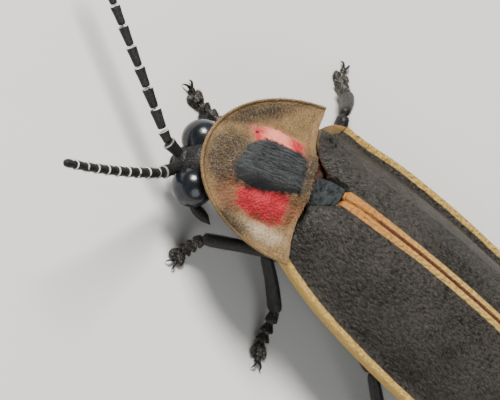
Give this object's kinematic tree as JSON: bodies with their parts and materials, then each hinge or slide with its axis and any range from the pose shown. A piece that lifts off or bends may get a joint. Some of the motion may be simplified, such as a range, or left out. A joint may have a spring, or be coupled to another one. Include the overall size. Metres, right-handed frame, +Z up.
{
  "type": "firefly model",
  "caption": "Life-size model of a day-active firefly at rest: broad shield over the head, long soft dark wing covers with pale edges, ringed feelers and hairy feet.",
  "frame": {"origin": "On the floor under the middle of the model's box.", "axes": "+Z is up, the animal's body lies along Y with its head towards -Y, and its left side is towards +X."},
  "size_m": [0.0092, 0.0168, 0.0034],
  "materials": {
    "shield": "satin, finely pubescent, with pink and black markings",
    "wing_cover": "leathery, granular, with fine grey hairs and yellow edges",
    "black_cuticle": "black, punctured and hairy",
    "eye": "glossy black with fine facets",
    "scutellum": "blue-grey, sculpted",
    "belly": "dark brown, finely hairy",
    "pale_segment": "pale waxy yellow"
  },
  "bodies": {
    "root": {"pronotum": "shield", "scutellum": "scutellum", "elytron_left": "wing_cover", "elytron_right": "wing_cover", "prothorax": "belly", "thorax": "belly", "abdomen": "belly", "lantern": "pale_segment", "abdomen_tip": "belly", "head": "black_cuticle", "eye_left": "eye", "mandible_left": "black_cuticle", "eye_right": "eye", "mandible_right": "black_cuticle", "palp_left": "black_cuticle", "palp_right": "black_cuticle", "antenna_left_base": "black_cuticle", "antenna_left_flagellum": "black_cuticle", "antenna_right_base": "black_cuticle", "antenna_right_flagellum": "black_cuticle", "leg_front_left_coxa": "black_cuticle", "leg_front_left_femur": "black_cuticle", "leg_front_left_tibia": "black_cuticle", "leg_front_left_tarsus": "black_cuticle", "leg_front_right_coxa": "black_cuticle", "leg_front_right_femur": "black_cuticle", "leg_front_right_tibia": "black_cuticle", "leg_front_right_tarsus": "black_cuticle", "leg_middle_left_coxa": "black_cuticle", "leg_middle_left_femur": "black_cuticle", "leg_middle_left_tibia": "black_cuticle", "leg_middle_left_tarsus": "black_cuticle", "leg_middle_right_coxa": "black_cuticle", "leg_middle_right_femur": "black_cuticle", "leg_middle_right_tibia": "black_cuticle", "leg_middle_right_tarsus": "black_cuticle", "leg_hind_left_coxa": "black_cuticle", "leg_hind_left_femur": "black_cuticle", "leg_hind_left_tibia": "black_cuticle", "leg_hind_left_tarsus": "black_cuticle", "leg_hind_right_coxa": "black_cuticle", "leg_hind_right_femur": "black_cuticle", "leg_hind_right_tibia": "black_cuticle", "leg_hind_right_tarsus": "black_cuticle"}
  },
  "joints": []
}
